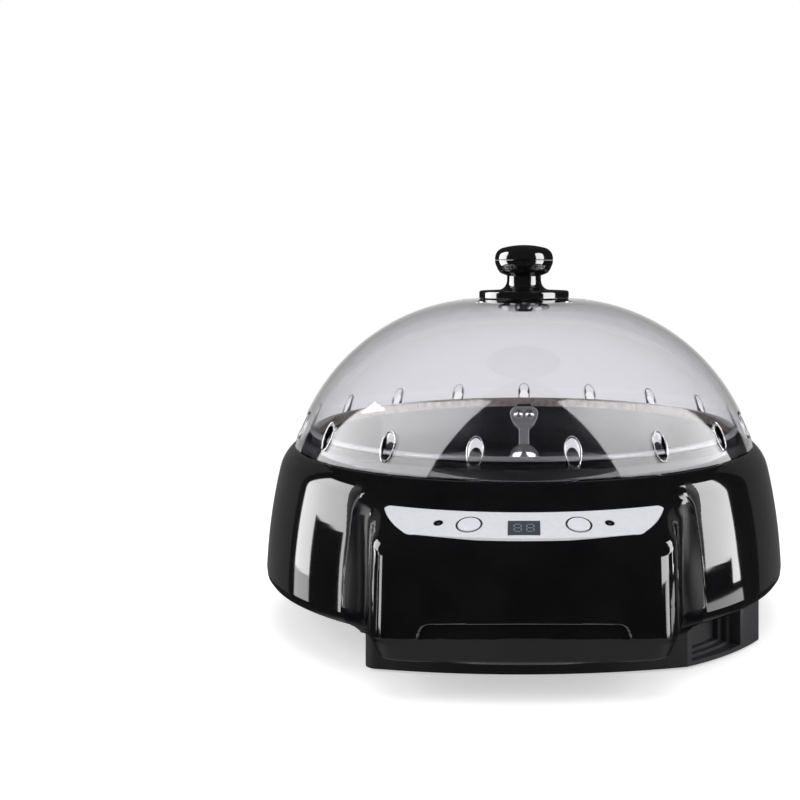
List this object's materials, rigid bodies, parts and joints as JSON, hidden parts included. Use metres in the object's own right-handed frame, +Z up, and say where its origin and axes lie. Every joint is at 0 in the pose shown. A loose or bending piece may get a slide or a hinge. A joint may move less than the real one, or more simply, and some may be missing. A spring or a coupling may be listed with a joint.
{
  "type": "coffee bean roaster",
  "caption": "Countertop coffee bean roaster: clear lift-off dome with vents and knob over a round pan with a turning stirrer, gloss housing with a sloping control panel, matt base.",
  "frame": {"origin": "middle of the bounding box's bottom face, on the table under the feet", "axes": "+Z up along the dome and stirrer axis, front with the control panel towards -Y, +X to the viewer's right"},
  "size_m": [0.2688, 0.2851, 0.1906],
  "materials": {
    "clear_dome": "clear polycarbonate, polished",
    "gloss_black": "high gloss",
    "matte_black": "fine matt texture",
    "knob_black": "satin phenolic",
    "panel_silver": "satin silver-white sheet",
    "button_white": "satin",
    "display_glass": "dark tinted window",
    "module_grey": "moulded",
    "led_lens": "frosted lens",
    "circuit_board": "solder-masked",
    "steel": "satin stainless",
    "chrome": "polished",
    "brass": "turned",
    "nonstick_pan": "dark non-stick coating, bare top edge",
    "blade_dark": "dark coating",
    "bare_aluminium": "mill finish",
    "heater_steel": "oxidised sheath",
    "ceramic": "glazed",
    "motor_steel": "zinc plated",
    "laminations": "varnished",
    "rubber": "matt"
  },
  "bodies": {
    "housing": {"upper_housing": "gloss_black", "control_panel_plate": "panel_silver", "display_window": "display_glass", "display_module": "module_grey", "indicator_leds": "led_lens", "control_board": "circuit_board", "tact_switches": "module_grey", "control_board_screws": "steel", "base_pan": "matte_black", "rubber_feet": "rubber", "base_screws": "steel", "cord_gland": "rubber", "roasting_pan": "nonstick_pan", "pan_support_ring": "steel", "shaft_bush": "brass", "bush_nut": "brass", "heat_shield": "bare_aluminium", "shield_screws": "steel", "heater_ring": "heater_steel", "heater_terminals": "ceramic", "heater_saddles": "ceramic", "thermostat": "ceramic", "thermal_fuse": "steel", "motor_bracket": "steel", "bracket_screws": "steel", "gear_motor": "motor_steel", "motor_screws": "steel", "power_board": "circuit_board", "power_board_screws": "steel", "power_relay": "module_grey", "power_transformer": "laminations"},
    "lid": {"dome_lid": "clear_dome", "knob_base": "knob_black", "knob_cap": "knob_black", "knob_screw": "steel", "knob_washer": "steel"},
    "stirrer": {"drive_shaft": "steel", "stirrer_arms": "steel", "stirrer_blade_outer": "blade_dark", "stirrer_blade_inner": "blade_dark", "blade_rivets": "steel", "arm_washer": "steel", "cap_nut": "chrome"},
    "power_key": {"power_button": "button_white"},
    "timer_key": {"timer_button": "button_white"}
  },
  "joints": [
    {"name": "lid_lift", "type": "slide", "parent": "housing", "child": "lid", "axis": [0, 0, 1], "range_m": [0, 0.12]},
    {"name": "stirrer_spin", "type": "hinge", "parent": "housing", "child": "stirrer", "pos_m": [0, 0.0083, 0.07], "axis": [0, 0, 1], "continuous": true},
    {"name": "power_press", "type": "slide", "parent": "housing", "child": "power_key", "axis": [0.0601, 0.3615, -0.9304], "range_m": [0, 0.0008], "stiffness_N_per_m": 1200, "springref_m": -0.0003},
    {"name": "timer_press", "type": "slide", "parent": "housing", "child": "timer_key", "axis": [-0.0601, 0.3615, -0.9304], "range_m": [0, 0.0008], "stiffness_N_per_m": 1200, "springref_m": -0.0003}
  ]
}
